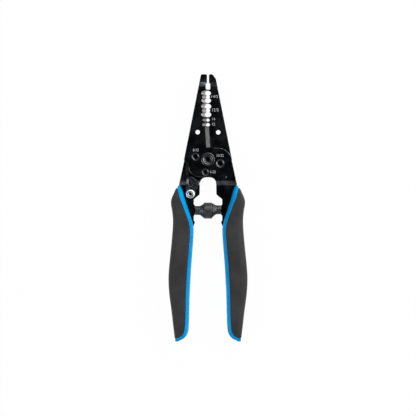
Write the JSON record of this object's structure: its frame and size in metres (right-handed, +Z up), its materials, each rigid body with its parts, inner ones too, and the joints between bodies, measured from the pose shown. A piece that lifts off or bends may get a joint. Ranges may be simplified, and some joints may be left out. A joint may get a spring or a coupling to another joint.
{
  "type": "cable stripper",
  "caption": "Hand cable stripper: two lapped steel jaws on a pivot screw, with ground notches, a cutter, a thumb lock, a volute spring and soft two-part grips.",
  "frame": {"origin": "middle of the overall box, on the surface that the tool lies on", "axes": "+X to the right, +Y towards the jaws, +Z up out of the front of the tool, along the pivot screw"},
  "size_m": [0.062, 0.2094, 0.0175],
  "materials": {
    "blade_steel": "black oxide, satin, with bright ground edges",
    "dark_hardware": "black oxide, satin",
    "bright_steel": "bright, plated",
    "spring_steel": "dark satin strip",
    "grip_core": "blue moulded plastic, slight sheen",
    "grip_cover": "charcoal soft moulding, matte"
  },
  "bodies": {
    "rear_half": {"rear_blade": "blade_steel", "left_grip_core": "grip_core", "left_grip_cover": "grip_cover", "pivot_screw": "dark_hardware", "pivot_washer": "bright_steel", "pivot_nut": "dark_hardware", "return_spring": "spring_steel", "lock_rivet": "bright_steel", "lock_washer": "bright_steel"},
    "front_half": {"front_blade": "blade_steel", "right_grip_core": "grip_core", "right_grip_cover": "grip_cover"},
    "lock": {"lock_lever": "blade_steel"}
  },
  "joints": [
    {"name": "handle_open", "type": "hinge", "parent": "rear_half", "child": "front_half", "pos_m": [0, 0.03795, 0.00875], "axis": [0, 0, 1], "range_deg": [0, 26], "stiffness_Nm_per_rad": 0.5, "springref_deg": 34.38, "deforming": ["return_spring"]},
    {"name": "lock_release", "type": "hinge", "parent": "rear_half", "child": "lock", "pos_m": [-0.0138, 0.01095, 0.00875], "axis": [0, 0, 1], "range_deg": [0, 20]}
  ]
}
